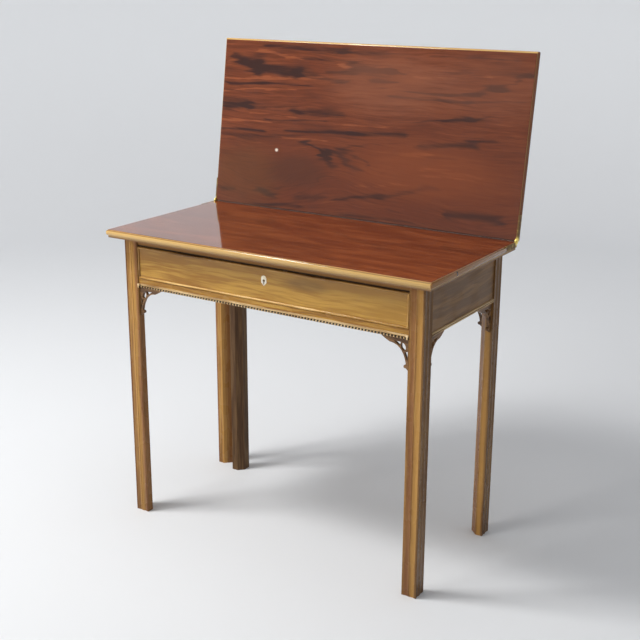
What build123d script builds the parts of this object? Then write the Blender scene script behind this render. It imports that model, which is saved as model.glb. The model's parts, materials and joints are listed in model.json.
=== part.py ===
from build123d import *
from math import atan, cos, degrees, pi, radians, sin
import os

os.makedirs("parts", exist_ok=True)

# Lengths are millimetres. Plus x is the sitter's right, plus y the back, plus z up.

# The table as a whole, read from the photograph.
top_height = 730
top_width = 862
top_depth = 421
board_thickness = 19
apron_height = 119
lean_angle = 8.3

# How far the boards stand out past the frame, and how far every cut runs past the wood.
side_overhang = 30
front_overhang = 32
back_overhang = 11
overrun = 2

# The moulded edge of both boards, measured in from the edge and down from the face.
leaf_gap = 0.4
surface_inset = 4.5
thumb_inset = 3.6
fillet_drop = 1.4
crown_drop = 7.5
thumb_drop = 13.6
plan_corner = 4

# The legs. The quirks are narrow grooves with a shallow hollow between them.
leg_size = 36
leg_chamfer = 18
quirk_shares = (0.064, 0.5, 0.936)
quirk_width = 1.3
quirk_depth = 0.9
hollow_depth = 1.2

# The inner back leg is slimmer and plain, and stands off from the swinging leg.
inner_leg_width = 31
inner_leg_depth = 35
inner_leg_chamfer = 14
pair_gap = 24

# The rails.
rail_thickness = 20
rail_setback = 3
tenon_thickness = 8
side_tenon_length = 20
tenon_shoulder = 8
tenon_top_shoulder = 14
corner_tail_count = 4

# The lower rail carries the drawer, the thin upper rail closes the opening.
drawer_rail_height = 21
drawer_rail_depth = 50
rail_tenon_inset = 7
rail_tenon_depth = 12
front_tenon_length = 18
rail_tenon_shoulder = 6
top_rail_height = 19
top_rail_depth = 40
top_rail_setback = 4
lap_tail_length = 14
lap_tail_root = 12
lap_tail_tip = 16

# The gate, its wooden knuckles and its pin.
fly_thickness = 18.5
gate_gap = 0.5
gate_pivot_x = -50
gate_clearance = 0.4
gate_knuckle_count = 5
gate_pin_radius = 3
gate_pin_fit = 0.08
fly_tenon_length = 24
fly_tenon_thickness = 7

# The hinges let into the ends of the boards.
leaf_length = 60
leaf_width = 12.5
leaf_thickness = 3.5
leaf_inset = 5
knuckle_radius = 7
knuckle_clearance = 0.5
lap_clearance = 0.1
rivet_radius = 2
rivet_fit = 0.05
rivet_head_radius = 3.2
rivet_head_height = 0.8
hinge_screw_shares = (0.36, 0.62, 0.88)
hinge_screw_radius = 1.6
hinge_screw_head = 3.1
hinge_screw_head_depth = 1.8
hinge_screw_length = 17

# The drawer box and its play in the opening.
drawer_side_play = 1.5
drawer_foot_play = 1
drawer_head_play = 1.2
drawer_lift = 0.3
drawer_front_thickness = 20
drawer_front_setback = 3.5
drawer_side_thickness = 10
drawer_side_top_play = 2
drawer_back_thickness = 10
drawer_back_drop = 8
drawer_back_play = 8.5
drawer_bottom_thickness = 5
drawer_bottom_rise = 4
groove_depth = 4.5
front_tail_depth = 9.5
front_tail_margin = 2
drawer_tail_count = 4
tail_root_share = 0.5
tail_tip_share = 0.74

# The cockbead let in round the drawer front.
bead_width = 4.5
bead_depth = 13
bead_stand = 3

# What the drawer runs on, between and against.
runner_width = 34
runner_thickness = 14
guide_height = 16
guide_play = 0.7
stop_width = 30
stop_depth = 20
stop_height = 3.2
stop_shares = (-0.55, 0.55)

# The lock behind the bone escutcheon.
key_drop = 28.8
key_eye_radius = 3
key_slot_width = 2.6
key_slot_drop = 9
escutcheon_width = 14
escutcheon_height = 23
escutcheon_thickness = 1.8
escutcheon_stand = 0.3
escutcheon_waist_shares = (-0.2, 0.22)
escutcheon_crown_share = 0.4
lock_plate_width = 70
lock_plate_thickness = 1.5
lock_width = 54
lock_foot_gap = 15.5
lock_wall = 1.6
bolt_width = 20
bolt_thickness = 5
bolt_height = 24
bolt_drop = 0.4
bolt_play = 0.2
bolt_mortise_play = 0.5
lock_screw_shares = (0.16, 0.84)
lock_screw_inset = 4
lock_screw_radius = 1.4
lock_screw_head = 2.6
lock_screw_head_depth = 1.2
lock_screw_length = 8

# The gadroon moulding on the drawer rail and the reeds on the side rails.
gadroon_height = 10
gadroon_stand = 6
gadroon_hang = 1
gadroon_profile_shares = ((0.42, 1), (1, 0.62), (0.5, 0.06))
reed_radius = 2
reed_count = 2
reed_rise = 2

# The pierced brackets, places as shares of their reach along the rail and drop down the leg.
bracket_reach = 66
bracket_drop = 71.5
bracket_thickness = 7
bracket_inset = 5
bracket_nose_share = (1, 0.035)
bracket_cusp_shares = ((0.877, 0.105), (0.709, 0.187))
bracket_arch_shares = ((0.709, 0.187), (0.447, 0.252), (0.233, 0.452))
bracket_fall_shares = ((0.233, 0.452), (0.144, 0.65), (0.108, 0.804))
bracket_foot_shares = ((0.115, 0.909), (0.068, 0.948), (0, 1))
bracket_ball_share = (0.133, 0.862)
bracket_ball_radius = 3.8
bracket_oval_share = (0.212, 0.27)
bracket_oval_radii = (5.4, 8.4)
bracket_oval_turn = 22
bracket_spandrel_shares = (
    ((0.303, 0.133), (0.561, 0.126), (0.353, 0.26)),
    ((0.053, 0.399), (0.171, 0.441), (0.053, 0.7)),
)
bracket_play = 0.5

# Blocks and screws that hold the top down. All screws have few sides, to stay light.
screw_sides = 8
glue_block_width = 60
glue_block_depth = 18
glue_block_shares = (-0.42, 0.1, 0.62)
top_screw_shares = (0.12, 0.5, 0.88)
top_rail_screw_shares = (-0.45, 0.45)
top_screw_radius = 2.2
top_screw_head = 4.2
top_screw_head_depth = 2.6
top_screw_length = 24

# Heights and planes that follow from these.
half_width = top_width / 2
frame_half = half_width - side_overhang
under_top = top_height - board_thickness
apron_bottom = under_top - apron_height
face = leaf_gap / 2
lean = radians(lean_angle)
flap_reach = (face + top_depth - surface_inset) * sin(lean)
overall_depth = top_depth + face + flap_reach + (face + board_thickness) * cos(lean)
front_y = -overall_depth / 2
hinge_y = front_y + top_depth + face
hinge_z = top_height + face
frame_front = front_y + front_overhang
frame_back = front_y + top_depth - back_overhang
front_leg_back = frame_front + leg_size
back_leg_front = frame_back - leg_size
leg_inner = frame_half - leg_size
opening_bottom = apron_bottom + drawer_rail_height
opening_top = under_top - top_rail_height
rail_outer = frame_half - rail_setback
rail_inner = rail_outer - rail_thickness
rail_front = frame_front + rail_setback
drawer_rail_back = rail_front + drawer_rail_depth
top_rail_front = frame_front + top_rail_setback
top_rail_back = top_rail_front + top_rail_depth
inner_rail_back = frame_back - fly_thickness - gate_gap
inner_rail_front = inner_rail_back - rail_thickness
gate_pivot_y = frame_back - fly_thickness / 2
gate_radius = fly_thickness / 2
gate_pitch = apron_height / gate_knuckle_count
fly_top = under_top - gate_clearance
fly_step = apron_bottom - gate_clearance
tenon_low = apron_bottom + tenon_shoulder
tenon_high = under_top - tenon_top_shoulder
leaf_plane = half_width - leaf_inset
half_lap = (leaf_thickness - lap_clearance) / 2
drawer_half = leg_inner - drawer_side_play
drawer_face = frame_front + drawer_front_setback
drawer_front_back = drawer_face + drawer_front_thickness
inner_leg_front = inner_rail_back - inner_leg_depth
drawer_end = inner_leg_front - drawer_back_play
drawer_low = opening_bottom + drawer_foot_play
drawer_high = opening_top - drawer_head_play
keyhole_height = drawer_high - key_drop
side_low = opening_bottom + drawer_lift
side_high = opening_top - drawer_side_top_play
bead_back = drawer_face + bead_depth - bead_stand
bottom_low = side_low + drawer_bottom_rise
bottom_high = bottom_low + drawer_bottom_thickness
back_high = side_high - drawer_back_drop
box_inner = drawer_half - drawer_side_thickness
bottom_half = box_inner + groove_depth
bottom_front = drawer_front_back - groove_depth
lock_front = drawer_front_back - front_tail_depth
lock_low = bottom_high + lock_foot_gap
lock_height = drawer_high - lock_low
bolt_back = drawer_front_back - lock_plate_thickness - bolt_play
bolt_front = bolt_back - bolt_thickness

# The boards are drawn on planes whose origin is the hinge line and whose x runs along it.
top_plane = Plane(origin=(0, hinge_y, hinge_z), x_dir=(-1, 0, 0), z_dir=(0, 0, 1))
flap_plane = Plane(origin=(0, hinge_y, hinge_z), x_dir=(1, 0, 0), z_dir=(0, -cos(lean), sin(lean)))


def keep(part, label):
    """Name the finished piece and write it out."""
    part.part.label = label
    export_step(part.part, "parts/" + label + ".step")


def block(x, y, z, mode=Mode.ADD):
    """Add or cut a straight block between two limits each way."""
    with BuildSketch(Plane.XY.offset(z[0])) as foot:
        with Locations(((x[0] + x[1]) / 2, (y[0] + y[1]) / 2)):
            Rectangle(abs(x[1] - x[0]), abs(y[1] - y[0]))
    extrude(foot.sketch, amount=z[1] - z[0], mode=mode)


def screw(drive, shank, head, head_depth, length, mode=Mode.ADD):
    """One countersunk screw, or its hole, driven along the plane's z."""
    flare = degrees(atan((head - shank) * cos(pi / screw_sides) / head_depth))
    with BuildPart(mode=Mode.PRIVATE) as made:
        with BuildSketch() as head_face:
            RegularPolygon(head, screw_sides)
        extrude(head_face.sketch, amount=head_depth, taper=flare)
        with BuildSketch(Plane.XY.offset(head_depth)) as neck:
            RegularPolygon(shank, screw_sides)
        extrude(neck.sketch, amount=length - head_depth)
    with Locations(drive):
        add(made.part, mode=mode)


def tails(root, tip, low, high, count):
    """Draw dovetails in a sketch of depth against height, wider at the tip."""
    pitch = (high - low) / count
    for number in range(count):
        middle = low + pitch * number + pitch / 2
        narrow = pitch * tail_root_share / 2
        wide = pitch * tail_tip_share / 2
        Polygon(
            (root, middle - narrow),
            (tip, middle - wide),
            (tip, middle + wide),
            (root, middle + narrow),
            align=None,
        )


def across(base):
    """The plane square to the hinge line, x out from the hinge and y up from the face."""
    return Plane(origin=base.origin, x_dir=base.y_dir, z_dir=base.x_dir)


# The two playing boards.
def edge_lines(edge, side):
    """Draw the moulded edge that stands this far to one side."""
    flat = side * (edge - surface_inset)
    thumb = side * (edge - thumb_inset)
    start = (thumb, -face - fillet_drop)
    end = (thumb, -face - thumb_drop)
    Polyline((flat, -face), (flat, -face - fillet_drop), start)
    ThreePointArc(start, (side * edge, -face - crown_drop), end)
    Polyline(end, (flat, -face - thumb_drop), (flat, -face - board_thickness))


def leaf_outline():
    """Draw the straight part of a hinge leaf."""
    with Locations(((face + leaf_length) / 2, -face - leaf_width / 2)):
        Rectangle(leaf_length - face, leaf_width)


def hinge_screws(base, side, mode=Mode.ADD):
    """Drive the screws of one hinge leaf."""
    outer = leaf_plane + leaf_thickness
    for share in hinge_screw_shares:
        place = base.from_local_coords((side * outer, share * leaf_length, -face - leaf_width / 2))
        drive = Plane(origin=place, x_dir=base.y_dir, z_dir=base.x_dir * -side)
        screw(
            drive,
            hinge_screw_radius,
            hinge_screw_head,
            hinge_screw_head_depth,
            hinge_screw_length,
            mode,
        )


def top_screws(mode=Mode.ADD):
    """Drive the screws that hold the top down, from under the kickers and the top rail."""
    run = inner_rail_front - top_rail_back
    places = [(side * (rail_inner - runner_width / 2), top_rail_back + share * run)
              for side in (-1, 1) for share in top_screw_shares]
    places += [(share * leg_inner, (top_rail_front + top_rail_back) / 2)
               for share in top_rail_screw_shares]
    for x, y in places:
        drive = Plane(origin=(x, y, opening_top), x_dir=(1, 0, 0), z_dir=(0, 0, 1))
        screw(
            drive,
            top_screw_radius,
            top_screw_head,
            top_screw_head_depth,
            top_screw_length,
            mode,
        )


def make_board(base):
    """Shape one playing board with moulded edges and pockets for its hinge leaves."""
    section = across(base)
    with BuildPart() as board:
        with BuildSketch(section):
            with BuildLine():
                edge = face + top_depth - surface_inset
                edge_lines(face + top_depth, 1)
                Polyline(
                    (edge, -face),
                    (face, -face),
                    (face, -face - board_thickness),
                    (edge, -face - board_thickness),
                )
            make_face()
        extrude(amount=half_width, both=True)
        with BuildSketch(Plane(origin=base.origin, x_dir=base.x_dir, z_dir=-base.y_dir)):
            with BuildLine():
                edge = half_width - surface_inset
                edge_lines(half_width, 1)
                edge_lines(half_width, -1)
                Line((-edge, -face), (edge, -face))
                Line((-edge, -face - board_thickness), (edge, -face - board_thickness))
            make_face()
        extrude(amount=-face - top_depth - overrun, mode=Mode.INTERSECT)
        with BuildSketch(base) as plan:
            with Locations((0, face + top_depth / 2)):
                Rectangle(top_width, top_depth)
            fillet(plan.vertices().group_by(Axis.Y)[-1], radius=plan_corner)
        extrude(amount=-face - board_thickness, mode=Mode.INTERSECT)
        for side in (-1, 1):
            with BuildSketch(section.offset(side * leaf_plane)):
                leaf_outline()
            extrude(amount=side * (leaf_inset + overrun), mode=Mode.SUBTRACT)
            with BuildSketch(section.offset(side * (leaf_plane - knuckle_clearance))):
                Circle(knuckle_radius + knuckle_clearance)
            extrude(amount=side * (leaf_inset + overrun), mode=Mode.SUBTRACT)
            hinge_screws(base, side, Mode.SUBTRACT)
    return board


with BuildPart() as table_top:
    add(make_board(top_plane).part)
    top_screws(Mode.SUBTRACT)
keep(table_top, "table_top")

flap = make_board(flap_plane)
keep(flap, "flap")


# The hinges. The laps are (start, depth) measured out from the board.
def make_hinge_leaf(base, side, own_lap, other_lap, hole):
    """Shape one brass leaf with its half knuckle, cleared for the other one."""
    section = across(base)
    with BuildPart() as leaf:
        with BuildSketch(section.offset(side * leaf_plane)):
            leaf_outline()
        extrude(amount=side * leaf_thickness)
        with BuildSketch(section.offset(side * (leaf_plane + other_lap[0]))):
            Circle(knuckle_radius + knuckle_clearance)
        extrude(amount=side * other_lap[1], mode=Mode.SUBTRACT)
        with BuildSketch(section.offset(side * (leaf_plane + own_lap[0]))):
            Circle(knuckle_radius)
        extrude(amount=side * own_lap[1])
        with BuildSketch(section.offset(side * leaf_plane)):
            Circle(hole)
        extrude(amount=side * leaf_thickness, mode=Mode.SUBTRACT)
        hinge_screws(base, side, Mode.SUBTRACT)
    return leaf


inner_lap = (0, half_lap)
outer_lap = (leaf_thickness - half_lap, half_lap)
past_inner = (half_lap, leaf_thickness - half_lap)
past_outer = (0, leaf_thickness - half_lap)
for name, side in (("left", -1), ("right", 1)):
    top_leaf = make_hinge_leaf(top_plane, -side, inner_lap, past_inner, rivet_radius)
    keep(top_leaf, "hinge_leaf_top_" + name)
    flap_leaf = make_hinge_leaf(flap_plane, side, outer_lap, past_outer, rivet_radius + rivet_fit)
    keep(flap_leaf, "hinge_leaf_flap_" + name)
    with BuildPart() as rivet:
        with BuildSketch(across(flap_plane).offset(side * leaf_plane)):
            Circle(rivet_radius)
        extrude(amount=side * (leaf_thickness + rivet_fit))
        with BuildSketch(across(flap_plane).offset(side * (leaf_plane + leaf_thickness + rivet_fit))):
            Circle(rivet_head_radius)
        extrude(amount=side * rivet_head_height)
    keep(rivet, "hinge_rivet_" + name)

with BuildPart() as hinge_screws_top:
    for side in (-1, 1):
        hinge_screws(top_plane, side)
keep(hinge_screws_top, "hinge_screws_top")

with BuildPart() as hinge_screws_flap:
    for side in (-1, 1):
        hinge_screws(flap_plane, side)
keep(hinge_screws_flap, "hinge_screws_flap")

with BuildPart() as screws_in_top:
    top_screws()
keep(screws_in_top, "top_screws")


# Joints between rails and legs, used once to add the tenon and once to cut the mortise.
def side_tenon(side, shoulder, way, mode):
    """The tenon of a side rail, from its shoulder towards plus or minus y."""
    middle = side * (rail_outer - rail_thickness / 2)
    x = (middle - tenon_thickness / 2, middle + tenon_thickness / 2)
    y = sorted((shoulder, shoulder + way * side_tenon_length))
    block(x, y, (tenon_low, tenon_high), mode)


def drawer_rail_tenon(side, mode):
    """The tenon at one end of the drawer rail."""
    x = sorted((side * leg_inner, side * (leg_inner + front_tenon_length)))
    y = (rail_front + rail_tenon_inset, rail_front + rail_tenon_inset + rail_tenon_depth)
    z = (apron_bottom + rail_tenon_shoulder, opening_bottom - rail_tenon_shoulder)
    block(x, y, z, mode)


def top_rail_tail(side, mode):
    """The lapped dovetail at one end of the top rail."""
    middle = (top_rail_front + front_leg_back) / 2
    with BuildSketch(Plane.XY.offset(opening_top)) as tail:
        Polygon(
            (side * leg_inner, middle - lap_tail_root / 2),
            (side * (leg_inner + lap_tail_length), middle - lap_tail_tip / 2),
            (side * (leg_inner + lap_tail_length), middle + lap_tail_tip / 2),
            (side * leg_inner, middle + lap_tail_root / 2),
            align=None,
        )
    extrude(tail.sketch, amount=top_rail_height, mode=mode)


def back_rail_tenon(mode):
    """The tenon of the inner back rail in the right back leg."""
    middle = inner_rail_front + rail_thickness / 2
    y = (middle - tenon_thickness / 2, middle + tenon_thickness / 2)
    block((leg_inner, leg_inner + front_tenon_length), y, (tenon_low, tenon_high), mode)


def fly_tenon(mode):
    """The tenon of the fly rail in the fly leg."""
    y = (gate_pivot_y - fly_tenon_thickness / 2, gate_pivot_y + fly_tenon_thickness / 2)
    block((-leg_inner - fly_tenon_length, -leg_inner), y, (tenon_low, tenon_high), mode)


# The legs, each drawn from its outer corner with two moulded faces.
def moulded_face(turned):
    """Draw the quirks and hollows of one outer face, turned for the other face."""
    def at(along, deep):
        return (deep, along) if turned else (along, deep)

    reached = at(0, 0)
    for number, share in enumerate(quirk_shares):
        low = share * leg_size - quirk_width / 2
        high = share * leg_size + quirk_width / 2
        if number == 0:
            Line(reached, at(low, 0))
        else:
            before = quirk_shares[number - 1] * leg_size + quirk_width / 2
            ThreePointArc(reached, at((before + low) / 2, hollow_depth), at(low, 0))
        Polyline(at(low, 0), at(share * leg_size, quirk_depth), at(high, 0))
        reached = at(high, 0)
    Line(reached, at(leg_size, 0))


def leg_stock(corner, height, stop):
    """Add a moulded leg blank, its inner corner planed off up to the stop."""
    with BuildSketch(corner) as outline:
        with BuildLine():
            moulded_face(False)
            moulded_face(True)
            Polyline((leg_size, 0), (leg_size, leg_size), (0, leg_size))
        make_face()
    extrude(outline.sketch, amount=height)
    with BuildSketch(corner) as planed:
        Polygon(
            (leg_size, leg_size - leg_chamfer),
            (leg_size, leg_size),
            (leg_size - leg_chamfer, leg_size),
            align=None,
        )
    extrude(planed.sketch, amount=stop, mode=Mode.SUBTRACT)


for name, side, along in (("left", -1, (1, 0, 0)), ("right", 1, (0, 1, 0))):
    with BuildPart() as front_leg:
        leg_stock(Plane(origin=(side * frame_half, frame_front, 0), x_dir=along), under_top, apron_bottom)
        side_tenon(side, front_leg_back, -1, Mode.SUBTRACT)
        drawer_rail_tenon(side, Mode.SUBTRACT)
        top_rail_tail(side, Mode.SUBTRACT)
    keep(front_leg, "front_" + name + "_leg")

with BuildPart() as back_right_leg:
    leg_stock(Plane(origin=(frame_half, frame_back, 0), x_dir=(-1, 0, 0)), under_top, apron_bottom)
    side_tenon(1, back_leg_front, 1, Mode.SUBTRACT)
    back_rail_tenon(Mode.SUBTRACT)
keep(back_right_leg, "back_right_leg")

with BuildPart() as fly_leg:
    leg_stock(Plane(origin=(-frame_half, frame_back, 0), x_dir=(0, -1, 0)), fly_top, fly_step)
    block(
        (-frame_half - overrun, -leg_inner + overrun),
        (back_leg_front - overrun, frame_back - fly_thickness),
        (fly_step, under_top),
        Mode.SUBTRACT,
    )
    fly_tenon(Mode.SUBTRACT)
keep(fly_leg, "fly_leg")

inner_leg_left = -leg_inner + pair_gap
inner_leg_right = inner_leg_left + inner_leg_width
with BuildPart() as inner_back_leg:
    block((inner_leg_left, inner_leg_right), (inner_leg_front, inner_rail_back), (0, apron_bottom))
    planed_edge = inner_back_leg.edges().filter_by(Axis.Z).group_by(Axis.X)[-1].sort_by(Axis.Y)[0]
    chamfer(planed_edge, length=inner_leg_chamfer)
    block(
        (inner_leg_left, inner_leg_right),
        (inner_leg_front, inner_rail_front),
        (apron_bottom, under_top),
    )
keep(inner_back_leg, "inner_back_leg")


# The rails. The left side rail is dovetailed to the inner back rail, behind the fly leg's lap.
def corner_tails(mode):
    """The dovetails of the left side rail, through the inner back rail."""
    with BuildSketch(Plane.YZ.offset(-rail_outer)) as shapes:
        tails(inner_rail_front, inner_rail_back, apron_bottom, under_top, corner_tail_count)
    extrude(shapes.sketch, amount=rail_thickness, mode=mode)


with BuildPart() as left_side_rail:
    block((-rail_outer, -rail_inner), (front_leg_back, inner_rail_front), (apron_bottom, under_top))
    side_tenon(-1, front_leg_back, -1, Mode.ADD)
    corner_tails(Mode.ADD)
keep(left_side_rail, "left_side_rail")

with BuildPart() as right_side_rail:
    block((rail_inner, rail_outer), (front_leg_back, back_leg_front), (apron_bottom, under_top))
    side_tenon(1, front_leg_back, -1, Mode.ADD)
    side_tenon(1, back_leg_front, 1, Mode.ADD)
keep(right_side_rail, "right_side_rail")

with BuildPart() as inner_back_rail:
    block((-rail_outer, leg_inner), (inner_rail_front, inner_rail_back), (apron_bottom, under_top))
    corner_tails(Mode.SUBTRACT)
    back_rail_tenon(Mode.ADD)
keep(inner_back_rail, "inner_back_rail")

with BuildPart() as drawer_rail:
    block((-leg_inner, leg_inner), (rail_front, drawer_rail_back), (apron_bottom, opening_bottom))
    drawer_rail_tenon(-1, Mode.ADD)
    drawer_rail_tenon(1, Mode.ADD)
keep(drawer_rail, "drawer_rail")

with BuildPart() as top_rail:
    block((-leg_inner, leg_inner), (top_rail_front, top_rail_back), (opening_top, under_top))
    top_rail_tail(-1, Mode.ADD)
    top_rail_tail(1, Mode.ADD)
    block(
        (-bolt_width / 2 - bolt_mortise_play, bolt_width / 2 + bolt_mortise_play),
        (bolt_front - bolt_mortise_play, bolt_back + bolt_mortise_play),
        (opening_top, under_top),
        Mode.SUBTRACT,
    )
    top_screws(Mode.SUBTRACT)
keep(top_rail, "top_rail")


# The wooden knuckle joint of the gate.
def knuckled_bar(x, y, z, hole):
    """Add a rail that ends in a round knuckle about the gate's pin."""
    block(x, y, z)
    with BuildSketch(Plane.XY.offset(z[0])) as knuckle:
        with Locations((gate_pivot_x, gate_pivot_y)):
            Circle(gate_radius)
    extrude(knuckle.sketch, amount=z[1] - z[0])
    with BuildSketch(Plane.XY.offset(z[0])) as bore:
        with Locations((gate_pivot_x, gate_pivot_y)):
            Circle(hole)
    extrude(bore.sketch, amount=z[1] - z[0], mode=Mode.SUBTRACT)


def knuckle_notch(number, way, play):
    """Cut the place of one knuckle of the other rail, flat at its far end."""
    low = apron_bottom + gate_pitch * number - play
    far = gate_pivot_x + way * (gate_radius + gate_clearance)
    near = gate_pivot_x - way * (gate_radius + overrun)
    y = (inner_rail_back - overrun, frame_back + overrun)
    block(sorted((near, far)), y, (low, low + gate_pitch + 2 * play), Mode.SUBTRACT)


with BuildPart() as gate_fixed_rail:
    knuckled_bar(
        (gate_pivot_x, leg_inner),
        (inner_rail_back, frame_back),
        (apron_bottom, under_top),
        gate_pin_radius,
    )
    for number in range(1, gate_knuckle_count, 2):
        knuckle_notch(number, 1, 0)
keep(gate_fixed_rail, "gate_fixed_rail")

with BuildPart() as fly_rail:
    knuckled_bar(
        (-leg_inner, gate_pivot_x),
        (frame_back - fly_thickness, frame_back),
        (apron_bottom, fly_top),
        gate_pin_radius + gate_pin_fit,
    )
    for number in range(0, gate_knuckle_count, 2):
        knuckle_notch(number, -1, gate_clearance)
    fly_tenon(Mode.ADD)
keep(fly_rail, "fly_rail")

with BuildPart() as gate_pin:
    with BuildSketch(Plane.XY.offset(apron_bottom)):
        with Locations((gate_pivot_x, gate_pivot_y)):
            Circle(gate_pin_radius)
    extrude(amount=apron_height)
keep(gate_pin, "gate_pin")

# What the drawer runs on.
for name, side in (("left", -1), ("right", 1)):
    along = sorted((side * (rail_inner - runner_width), side * rail_inner))
    with BuildPart() as runner:
        runner_low = opening_bottom - runner_thickness
        block(along, (drawer_rail_back, inner_rail_front), (runner_low, opening_bottom))
    keep(runner, name + "_drawer_runner")
    with BuildPart() as kicker:
        block(along, (top_rail_back, inner_rail_front), (opening_top, under_top))
        top_screws(Mode.SUBTRACT)
    keep(kicker, name + "_kicker")
    with BuildPart() as guide:
        block(
            sorted((side * (drawer_half + guide_play), side * rail_inner)),
            (drawer_rail_back, inner_rail_front),
            (opening_bottom, opening_bottom + guide_height),
        )
    keep(guide, name + "_drawer_guide")

with BuildPart() as drawer_stops:
    for share in stop_shares:
        middle = share * leg_inner
        block(
            (middle - stop_width / 2, middle + stop_width / 2),
            (drawer_front_back + drawer_lift, drawer_front_back + drawer_lift + stop_depth),
            (opening_bottom, opening_bottom + stop_height),
        )
keep(drawer_stops, "drawer_stops")

with BuildPart() as glue_blocks:
    for share in glue_block_shares:
        middle = share * leg_inner
        block(
            (middle - glue_block_width / 2, middle + glue_block_width / 2),
            (inner_rail_front - glue_block_depth, inner_rail_front),
            (opening_top, under_top),
        )
keep(glue_blocks, "glue_blocks")


# The drawer.
def bottom_board(mode):
    """The drawer bottom, or the grooves that hold it."""
    block((-bottom_half, bottom_half), (bottom_front, drawer_end), (bottom_low, bottom_high), mode)


def front_tails(side, mode):
    """The tails of one drawer side, half lapped into the drawer front."""
    with BuildSketch(Plane.YZ.offset(side * box_inner)) as shapes:
        tails(drawer_front_back, lock_front, side_low + front_tail_margin,
              side_high - front_tail_margin, drawer_tail_count)
    extrude(shapes.sketch, amount=side * drawer_side_thickness, mode=mode)


def back_pins(side, mode):
    """The pins of the drawer back, between the tails of one side."""
    back_start = drawer_end - drawer_back_thickness
    with BuildSketch(Plane.YZ.offset(side * box_inner)) as shapes:
        with Locations(((back_start + drawer_end) / 2, (bottom_high + back_high) / 2)):
            Rectangle(drawer_back_thickness, back_high - bottom_high)
        with BuildSketch(mode=Mode.SUBTRACT):
            tails(back_start, drawer_end, bottom_high, back_high, drawer_tail_count)
    extrude(shapes.sketch, amount=side * drawer_side_thickness, mode=mode)


def keyhole(start, depth):
    """Cut the keyhole back from the given depth."""
    with BuildSketch(Plane(origin=(0, start, keyhole_height), x_dir=(1, 0, 0), z_dir=(0, -1, 0))) as hole:
        Circle(key_eye_radius)
        with Locations((0, -key_slot_drop / 2)):
            Rectangle(key_slot_width, key_slot_drop)
    extrude(hole.sketch, amount=-depth, mode=Mode.SUBTRACT)


def escutcheon_shape(mode=Mode.ADD):
    """The bone escutcheon, round at the crown and pointed at the foot."""
    half = escutcheon_width / 2
    foot = (0, -escutcheon_height / 2)
    low, high = [share * escutcheon_height for share in escutcheon_waist_shares]
    shoulder = (half * escutcheon_crown_share * 2, escutcheon_crown_share * escutcheon_height)
    crown = (0, escutcheon_height / 2)
    place = Plane(
        origin=(0, drawer_face - escutcheon_stand, keyhole_height),
        x_dir=(1, 0, 0),
        z_dir=(0, -1, 0),
    )
    with BuildSketch(place) as shape:
        with BuildLine():
            Polyline((-half, high), (-half, low), foot, (half, low), (half, high))
            Line((half, high), shoulder)
            ThreePointArc(shoulder, crown, (-shoulder[0], shoulder[1]))
            Line((-shoulder[0], shoulder[1]), (-half, high))
        make_face()
    extrude(shape.sketch, amount=-escutcheon_thickness, mode=mode)


def lock_body(mode=Mode.ADD):
    """The lock with its back plate, or the place let in for it."""
    block(
        (-lock_width / 2, lock_width / 2),
        (lock_front, drawer_front_back),
        (lock_low, drawer_high),
        mode,
    )
    block(
        (-lock_plate_width / 2, lock_plate_width / 2),
        (drawer_front_back - lock_plate_thickness, drawer_front_back),
        (lock_low, drawer_high),
        mode,
    )


def lock_screws(mode=Mode.ADD):
    """The four screws of the lock's back plate."""
    for side in (-1, 1):
        for share in lock_screw_shares:
            x = side * (lock_plate_width / 2 - lock_screw_inset)
            place = (x, drawer_front_back, lock_low + share * lock_height)
            drive = Plane(origin=place, x_dir=(1, 0, 0), z_dir=(0, -1, 0))
            screw(
                drive,
                lock_screw_radius,
                lock_screw_head,
                lock_screw_head_depth,
                lock_screw_length,
                mode,
            )


with BuildPart() as drawer_front:
    block((-drawer_half, drawer_half), (bead_back, drawer_front_back), (drawer_low, drawer_high))
    block(
        (-drawer_half + bead_width, drawer_half - bead_width),
        (drawer_face, bead_back),
        (drawer_low + bead_width, drawer_high - bead_width),
    )
    for side in (-1, 1):
        front_tails(side, Mode.SUBTRACT)
    bottom_board(Mode.SUBTRACT)
    escutcheon_shape(Mode.SUBTRACT)
    keyhole(drawer_face, drawer_front_thickness)
    lock_body(Mode.SUBTRACT)
    lock_screws(Mode.SUBTRACT)
keep(drawer_front, "drawer_front")

for name, side in (("left", -1), ("right", 1)):
    with BuildPart() as drawer_side:
        block(
            sorted((side * box_inner, side * drawer_half)),
            (drawer_front_back, drawer_end),
            (side_low, side_high),
        )
        front_tails(side, Mode.ADD)
        back_pins(side, Mode.SUBTRACT)
        bottom_board(Mode.SUBTRACT)
    keep(drawer_side, "drawer_" + name + "_side")

with BuildPart() as drawer_back:
    block(
        (-box_inner, box_inner),
        (drawer_end - drawer_back_thickness, drawer_end),
        (bottom_high, back_high),
    )
    back_pins(-1, Mode.ADD)
    back_pins(1, Mode.ADD)
keep(drawer_back, "drawer_back")

with BuildPart() as drawer_bottom:
    bottom_board(Mode.ADD)
keep(drawer_bottom, "drawer_bottom")


# The cockbeads, mitred where they meet.
def make_bead(middle, along, length):
    """One bead, run along its plane's normal and mitred at both ends."""
    section = Plane(origin=middle, x_dir=(0, -1, 0), z_dir=along)
    inward = section.y_dir
    with BuildPart() as bead:
        with BuildSketch(section):
            with Locations(((bead_stand - bead_width / 2 - bead_back + drawer_face) / 2, bead_width / 2)):
                Rectangle(bead_depth - bead_width / 2, bead_width)
            with Locations((bead_stand - bead_width / 2, bead_width / 2)):
                Circle(bead_width / 2)
        extrude(amount=length / 2, both=True)
        for way in (-1, 1):
            corner = Vector(*middle) + Vector(*along) * (way * length / 2)
            mitre = Plane(origin=corner, z_dir=-(inward + Vector(*along) * way))
            split(bisect_by=mitre, keep=Keep.TOP)
    return bead


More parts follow.
